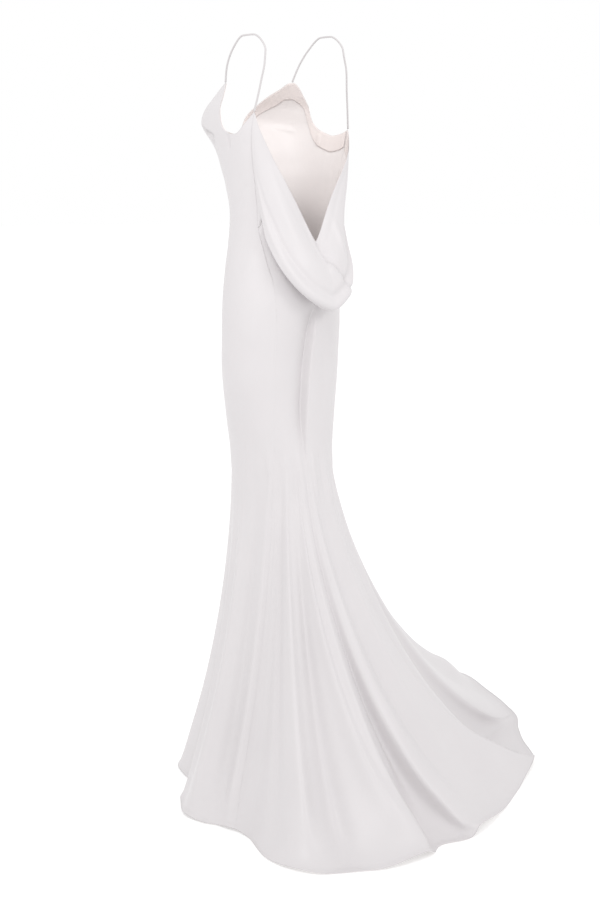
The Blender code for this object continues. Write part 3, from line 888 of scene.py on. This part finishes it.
@dataclass(frozen=True)
class CowlShape:
    """The draped cowl: its neck edge, its bulge and the fold under it."""

    standoff: float = 0.044
    neck: float = 1.184
    fold: float = 1.045
    fold_side: float = 1.250
    flat_from: float = 0.80
    neck_power: float = 1.1
    fold_power: float = 1.5
    tuck_share: float = 0.84
    roll: Rows = (
        (0.00, 0.70),
        (0.27, 0.70),
        (0.46, 0.68),
        (0.66, 0.64),
        (0.87, 0.61),
        (1.00, 0.50),
    )
    overlap: Rows = (
        (0.00, 0.17),
        (0.13, 0.08),
        (0.33, -0.07),
        (0.54, -0.18),
        (0.70, -0.26),
        (1.00, -0.35),
    )
    profile: Rows = (
        (0.00, 0.000, 0.10),
        (0.15, 0.170, 0.38),
        (0.30, 0.360, 0.62),
        (0.45, 0.560, 0.82),
        (0.58, 0.750, 0.96),
        (0.68, 0.895, 1.00),
        (0.76, 0.980, 0.94),
        (0.83, 1.000, 0.80),
        (0.90, 0.965, 0.52),
        (1.00, 0.840, 0.00),
    )

    def weight(self, share: np.ndarray) -> np.ndarray:
        """Returns how much of the folded profile the cowl has at a share of its half width."""
        return 1.0 - ease(np.abs(share), self.flat_from, 1.0)

    def edges(self, share: np.ndarray) -> tuple[np.ndarray, np.ndarray, np.ndarray]:
        """Gives the cowl's main heights.

        Args:
            share: shares of the half width, from -1 on the right to 1 on the left.

        Returns:
            The heights of the back corner on that side, of the neck edge and of the fold.
        """
        corner = np.where(share > 0.0, FORM.left_corner, FORM.right_corner)
        neck = self.neck + (corner - self.neck) * np.abs(share) ** self.neck_power
        fold = self.fold + (self.fold_side - self.fold) * np.abs(share) ** self.fold_power
        return corner, neck, fold

    def tuck(self, share: np.ndarray) -> np.ndarray:
        """Returns the height where the cowl is sewn to the back skirts."""
        _, neck, fold = self.edges(share)
        return mix(FORM.join, mix(neck, fold, self.tuck_share), self.weight(share))

    def points(self, share: np.ndarray, along: np.ndarray) -> tuple[np.ndarray, np.ndarray]:
        """Gives the cowl's surface.

        Args:
            share: shares of the half width.
            along: 0 at the neck edge, 1 where it is sewn to the back skirts.

        Returns:
            The points, and the angles round the body that they lie at.
        """
        corner, neck, fold = self.edges(share)
        seam = mix(corner, FORM.join, along)
        folded = mix(neck, fold, Profile(self.profile, 1).at(along))
        height = mix(seam + (neck - corner) * (1.0 - along), folded, self.weight(share))
        height = np.where(along >= 1.0, self.tuck(share), height)
        angle = share * FORM.side_seam.at(seam)
        out = np.maximum(0.0, 1.0 - np.abs(share) ** 2.2) ** 0.9
        standoff = self.standoff * Profile(self.profile, 2).at(along) * out
        base = FORM.body(angle, height)
        radius = np.linalg.norm(base[..., :2], axis=-1)
        base[..., :2] *= (1.0 + standoff / radius)[..., None]
        return base, angle

    def drape(self, share: np.ndarray, along: np.ndarray) -> np.ndarray:
        """Gives the soft folds that hang from corner to corner.

        Args:
            share: shares of the half width.
            along: 0 at the neck edge, 1 where it is sewn down.

        Returns:
            The height of the folds at each point.
        """
        hang = 1.0 - np.abs(share) ** 4
        lean = along - Profile(self.roll).at(np.abs(share))
        folds = hang * (0.0042 * bell(lean / 0.050) - 0.0036 * bell((lean + 0.11) / 0.045))
        folds += hang * (0.0024 * bell((lean + 0.34) / 0.110) - 0.0012 * bell((lean + 0.56) / 0.050))
        over = share - Profile(self.overlap).at(along)
        lapped = ease(along, 0.0, 0.10) * (1.0 - ease(along, 0.66, 0.84))
        folds += lapped * (0.0030 * bell((over - 0.045) / 0.050) - 0.0045 * bell((over + 0.022) / 0.026))
        streak = bell((share + 0.34) / 0.045) * bell((along - 0.32) / 0.16)
        gather = bell((share + 0.14) / 0.11) * bell((along - 0.64) / 0.09) * np.sin(share * 150.0 + along * 45.0)
        folds += 0.0034 * streak + 0.0006 * gather
        return folds * ease(1.0 - along, 0.0, 0.25) * (1.0 - np.abs(share) ** 8)


@dataclass
class CowlPanel(Cloth):
    """The draped cowl at the back."""

    half_columns: int = 70
    rows: int = 96
    flat: tuple[float, float] = (1.0, 1.0)
    area: float = 1.0

    def build(self) -> bpy.types.Object:
        """Builds the cowl.

        Returns:
            The finished cowl.
        """
        gap = 0.000004 / 0.13 / math.radians(68.0)
        share = np.concatenate([[gap - 1.0], np.linspace(-0.996, 0.996, 2 * self.half_columns - 1), [1.0 - gap]])
        along = np.linspace(0.0, 1.0, self.rows + 1)
        along, share = np.meshgrid(along, share, indexing="ij")
        points, _ = COWL_SHAPE.points(share, along)
        outward = self.normals(points)
        middle = outward[self.rows // 4, self.half_columns]
        if middle[1] < 0.0:
            outward = -outward
        for column in (0, -1):
            level = points[:, column] * np.array([1.0, 1.0, 0.0])
            outward[:, column] = level / np.linalg.norm(level, axis=-1, keepdims=True)
        piece = self.make(points, outward, COWL_SHAPE.drape(share, along))
        return piece


@dataclass
class FacingStrip(Cloth):
    """A strip sewn inside a panel's top edge."""

    flat: tuple[float, float] = (1.0, 0.04)
    area: float = 0.02

    def close(self, points: np.ndarray, outward: np.ndarray, press: np.ndarray) -> bpy.types.Object:
        """Args:
            points: the panel's own points along its top edge.
            outward: the panel's normals there.
            press: how far the panel's creases move it.

        Returns:
            The finished strip.
        """
        moved = points - outward * 0.0019
        piece = self.make(moved, outward, press)
        return piece


@dataclass
class FrontFacing(FacingStrip):
    """The facing inside the cups and armholes."""

    depth: float = 0.034

    def build(self) -> bpy.types.Object:
        """Builds the front facing.

        Returns:
            The finished strip.
        """
        across = np.linspace(0.004, 0.996, 241)
        start = FORM.side_seam.at(FORM.left_corner)
        end = FORM.side_seam.at(FORM.right_corner)
        angle = mix(start, 360.0 - end, across)
        top = FORM.top_edge.at(angle)
        down = np.linspace(0.0006, self.depth, 12)
        angles = np.repeat(angle[None, :], len(down), axis=0)
        heights = top[None, :] - down[:, None]
        points = FORM.body(angles, heights)
        outward = self.normals(points)
        if outward[6, 60][0] < 0.0:
            outward = -outward
        return self.close(points, outward, FORM.pressed(angles, points))


@dataclass
class BackFacing(FacingStrip):
    """The facing inside the cowl's neck edge."""

    depth_share: float = 0.22

    def build(self) -> bpy.types.Object:
        """Builds the back facing.

        Returns:
            The finished strip.
        """
        share = np.linspace(-0.985, 0.985, 141)
        along = np.linspace(0.003, self.depth_share, 22)
        along, share = np.meshgrid(along, share, indexing="ij")
        points, _ = COWL_SHAPE.points(share, along)
        outward = self.normals(points)
        if outward[8, 70][1] < 0.0:
            outward = -outward
        return self.close(points, outward, COWL_SHAPE.drape(share, along))


@dataclass
class RolledStrap:
    """A thin rolled strap with a seam along it, from the back corner over the shoulder to the cup."""

    name: str
    node: str
    slot: str
    finish: SatinFinish
    side: Side
    radius: float = 0.0019
    sides: int = 16
    steps: int = 150

    def build(self) -> bpy.types.Object:
        """Builds the strap.

        Returns:
            The finished strap.
        """
        sign = self.side.value
        rows = [list(row) for row in STRAP_ROWS]
        last = len(rows) - 1
        corner = FORM.body(np.array(sign * float(FORM.side_seam.at(FORM.corner(self.side)))),
                           np.array(FORM.corner(self.side)))
        cup = FORM.body(np.array(122.5), np.array(1.4962))
        starts = (corner[0] - sign * rows[0][0], corner[1] - rows[0][1], corner[2] + 0.0008 - rows[0][2])
        ends = (sign * (cup[0] - rows[last][0]), cup[1] - rows[last][1], cup[2] + 0.0008 - rows[last][2])
        path = []
        for k, (x, y, height) in enumerate(rows):
            back = max(0.0, 1.0 - k / 4.0)
            ahead = max(0.0, 1.0 - (last - k) / 4.0)
            path.append((
                k / last,
                sign * x + back * starts[0] + ahead * ends[0],
                y + back * starts[1] + ahead * ends[1],
                height + back * starts[2] + ahead * ends[2] - FORM.hold,
            ))
        share = np.linspace(0.0, 1.0, self.steps + 1)
        centre = np.stack([Profile(tuple(path), c).at(share) for c in (1, 2, 3)], axis=-1)
        forward = np.gradient(centre, axis=0)
        forward /= np.linalg.norm(forward, axis=-1, keepdims=True)
        first = np.array([1.0, 0.0, 0.0]) - forward * forward[:, :1]
        first /= np.linalg.norm(first, axis=-1, keepdims=True)
        second = np.cross(forward, first)
        mesh = bmesh.new()
        rings = []
        for k in range(self.steps + 1):
            ring = []
            for s in range(self.sides):
                turn = 2.0 * math.pi * s / self.sides
                radius = self.radius * (1.0 - 0.10 * math.exp(-((s - self.sides * 0.75) / 0.8) ** 2))
                offset = radius * (math.cos(turn) * first[k] + math.sin(turn) * second[k])
                ring.append(mesh.verts.new(centre[k] + offset))
            rings.append(ring)
        for before, after in zip(rings, rings[1:]):
            for s in range(self.sides):
                t = (s + 1) % self.sides
                mesh.faces.new((before[s], before[t], after[t], after[s]))
        mesh.faces.new(tuple(reversed(rings[0])))
        mesh.faces.new(tuple(rings[-1]))
        bmesh.ops.recalc_face_normals(mesh, faces=mesh.faces)
        data = bpy.data.meshes.new(self.name)
        mesh.to_mesh(data)
        mesh.free()
        uv = data.uv_layers.new(name="weave")
        for loop in data.loops:
            co = data.vertices[loop.vertex_index].co
            uv.data[loop.index].uv = (co.x + co.y, co.z)
        data.materials.append(self.finish.make())
        data.shade_smooth()
        piece = bpy.data.objects.new(self.name, data)
        bpy.context.scene.collection.objects.link(piece)
        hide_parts(self.node)
        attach(piece, "root")
        LOG.info("%s: %d faces", self.name, len(data.polygons))
        return piece


STRAP_ROWS: Rows = (
    (0.1310, 0.0455, 1.4450),
    (0.1280, 0.0520, 1.4720),
    (0.1250, 0.0580, 1.5020),
    (0.1220, 0.0640, 1.5350),
    (0.1200, 0.0640, 1.5570),
    (0.1190, 0.0540, 1.5750),
    (0.1180, 0.0320, 1.5870),
    (0.1150, 0.0000, 1.5850),
    (0.1080, -0.0350, 1.5600),
    (0.0980, -0.0620, 1.5260),
    (0.0870, -0.0780, 1.4955),
)
FORM = Form()
COWL_SHAPE = CowlShape()


@dataclass(frozen=True)
class Studio:
    """The floor, the soft lights and the camera."""

    view_angle: float = 50.0
    distance: float = 3.3
    eye_height: float = 1.5
    tilt: float = 13.0
    lens: float = 64.0
    aside: float = 0.0382
    sky: float = 1.0

    def floor(self) -> bpy.types.Object:
        """Lays the pale floor.

        Returns:
            The floor.
        """
        bpy.ops.mesh.primitive_circle_add(vertices=64, radius=14.0, fill_type="NGON", location=(0, 0, -FORM.hold))
        floor = bpy.context.object
        floor.name = "studio_floor"
        material = bpy.data.materials.new("studio_floor")
        material.use_nodes = True
        shader = material.node_tree.nodes["Principled BSDF"]
        shader.inputs["Base Color"].default_value = (0.72, 0.72, 0.72, 1.0)
        shader.inputs["Emission Color"].default_value = (1.0, 1.0, 1.0, 1.0)
        shader.inputs["Emission Strength"].default_value = 0.36
        shader.inputs["Roughness"].default_value = 0.9
        floor.data.materials.append(material)
        return floor

    def lights(self) -> None:
        """Hangs the soft lights."""
        world = bpy.data.worlds.new("studio_sky")
        world.use_nodes = True
        world.node_tree.nodes["Background"].inputs["Color"].default_value = (1.0, 1.0, 1.0, 1.0)
        world.node_tree.nodes["Background"].inputs["Strength"].default_value = self.sky
        bpy.context.scene.world = world
        for name, place, size, power in (
            ("key_light", (2.0, 0.8, 1.3), 0.9, 8.0),
            ("back_light", (-0.4, 3.0, 1.0), 1.2, 5.5),
        ):
            data = bpy.data.lights.new(name, "AREA")
            data.shape = "DISK"
            data.size = size
            data.energy = power
            data.spread = math.radians(110.0)
            lamp = bpy.data.objects.new(name, data)
            lamp.location = place
            lamp.rotation_euler = (Vector((0.0, 0.0, -0.4)) - Vector(place)).to_track_quat("-Z", "Y").to_euler()
            bpy.context.scene.collection.objects.link(lamp)

    def camera(self) -> None:
        """Sets the camera at the photograph's viewing angle."""
        turn = math.radians(self.view_angle)
        toward = Vector((math.sin(turn), math.cos(turn), 0.0))
        aside = Vector((-math.cos(turn), math.sin(turn), 0.0))
        data = bpy.data.cameras.new("camera")
        data.sensor_fit = "VERTICAL"
        data.sensor_height = 36.0
        data.lens = self.lens
        camera = bpy.data.objects.new("camera", data)
        camera.location = toward * self.distance + aside * self.aside + Vector((0, 0, self.eye_height - FORM.hold))
        tilt = math.radians(self.tilt)
        look = -toward * math.cos(tilt) + Vector((0.0, 0.0, -math.sin(tilt)))
        camera.rotation_euler = look.to_track_quat("-Z", "Y").to_euler()
        bpy.context.scene.collection.objects.link(camera)
        bpy.context.scene.camera = camera

    def build(self) -> None:
        """Builds the whole studio."""
        self.floor()
        self.lights()
        self.camera()
        bpy.context.scene.view_settings.view_transform = "Standard"


@dataclass
class Gown:
    """The whole dress."""

    rolled: tuple[float, float, float] = (0.560, 0.535, 0.540)
    blush: tuple[float, float, float] = (0.780, 0.712, 0.692)
    pieces: list[bpy.types.Object] = field(default_factory=list)

    def build(self) -> list[bpy.types.Object]:
        """Builds every piece of the dress.

        Returns:
            The finished pieces.
        """
        both = (True, True)
        makers = [
            FrontPanel("front_cloth", "front", "front_satin", SatinFinish("front_satin"),
                       columns=220, flat=(1.72, 1.62), area=1.06, hem_depth=0.008, seam_sides=both),
            BackPanel("back_left_cloth", "back_left", "back_left_satin", SatinFinish("back_left_satin"),
                      columns=110, flat=(0.70, 1.24), area=0.28, hem_depth=0.008, seam_sides=both),
            BackPanel("back_right_cloth", "back_right", "back_right_satin", SatinFinish("back_right_satin"),
                      columns=110, flat=(0.74, 1.38), area=0.36, hem_depth=0.008, seam_sides=both,
                      side=Side.RIGHT),
            CowlPanel("cowl_cloth", "back_cowl", "cowl_satin", SatinFinish("cowl_satin"),
                      flat=(0.62, 0.26), area=0.088, seam_sides=both, seam_roll=0.0003),
            FrontFacing("front_facing_cloth", "front_facing", "front_facing_blush", self.lining("front_facing_blush"),
                        wall=0.0005, settle=0.0, flat=(0.66, 0.050), area=0.020),
            BackFacing("back_facing_cloth", "back_facing", "back_facing_blush", self.lining("back_facing_blush"),
                       wall=0.0005, settle=0.0, flat=(0.56, 0.046), area=0.018),
            RolledStrap("strap_left_cord", "strap_left", "strap_left_satin",
                        SatinFinish("strap_left_satin", colour=self.rolled), Side.LEFT),
            RolledStrap("strap_right_cord", "strap_right", "strap_right_satin",
                        SatinFinish("strap_right_satin", colour=self.rolled), Side.RIGHT),
        ]
        self.pieces = [maker.build() for maker in makers]
        return self.pieces

    def lining(self, name: str) -> SatinFinish:
        """Returns the matt blush finish of a facing."""
        return SatinFinish(name, colour=self.blush, wrong_side=self.blush, roughness=0.58, sheen=0.15, weave=0.12)


def main() -> None:
    """Builds the studio and the dress."""
    logging.basicConfig(level=logging.INFO, format="%(message)s")
    Studio().build()
    for piece in Gown().build():
        LOG.info("built %s", piece.name)
    bpy.context.view_layer.update()


if __name__ == "__main__":
    main()
